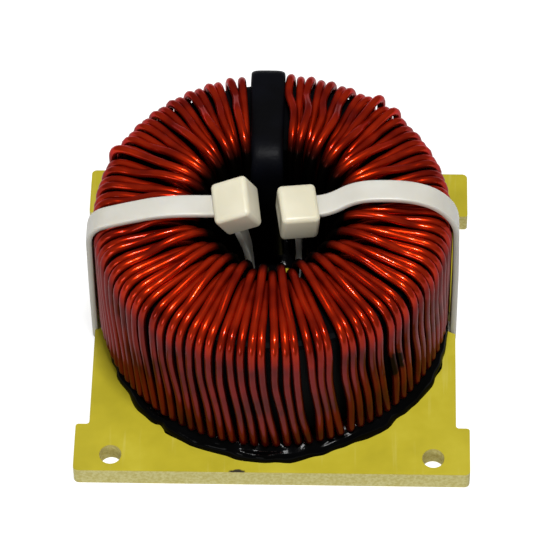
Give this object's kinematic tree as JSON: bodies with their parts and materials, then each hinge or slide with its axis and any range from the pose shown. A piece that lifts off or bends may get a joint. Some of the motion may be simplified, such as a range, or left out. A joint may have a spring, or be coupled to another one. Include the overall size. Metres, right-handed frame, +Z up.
{
  "type": "power inductor",
  "caption": "Toroidal power inductor: ring core wound with red enamelled wire, glued on a yellow board and held by two cable ties.",
  "frame": {"origin": "middle of the four screw holes, on the board's underside", "axes": "+Z up out of the board along the core's axis, +X along the board's recess-to-recess width, +Y to the back, where the leads are"},
  "size_m": [0.075, 0.0827, 0.0465],
  "materials": {
    "board_epoxy": "satin laminate, sawn edges",
    "powder_core": "pressed powder, sealed",
    "core_tape": "satin film tape",
    "enamelled_wire": "clear gloss enamel",
    "tinned_copper": "dipped solder",
    "shrink_sleeve": "satin",
    "black_glue": "set glue, glossy",
    "tie_nylon": "natural nylon"
  },
  "bodies": {
    "root": {"base_board": "board_epoxy", "core_ring_lower": "powder_core", "core_ring_upper": "powder_core", "core_tape": "core_tape", "winding_turns_01": "enamelled_wire", "winding_turns_02": "enamelled_wire", "winding_turns_03": "enamelled_wire", "winding_turns_04": "enamelled_wire", "winding_turns_05": "enamelled_wire", "winding_turns_06": "enamelled_wire", "winding_turns_07": "enamelled_wire", "winding_turns_08": "enamelled_wire", "winding_turns_09": "enamelled_wire", "winding_turns_10": "enamelled_wire", "winding_turns_11": "enamelled_wire", "winding_turns_12": "enamelled_wire", "start_lead": "enamelled_wire", "start_sleeve": "shrink_sleeve", "start_tips": "tinned_copper", "finish_lead": "enamelled_wire", "finish_sleeve": "shrink_sleeve", "finish_tips": "tinned_copper", "glue_bead": "black_glue", "glue_puddle": "black_glue", "cable_tie_left": "tie_nylon", "cable_tie_right": "tie_nylon"}
  },
  "joints": []
}
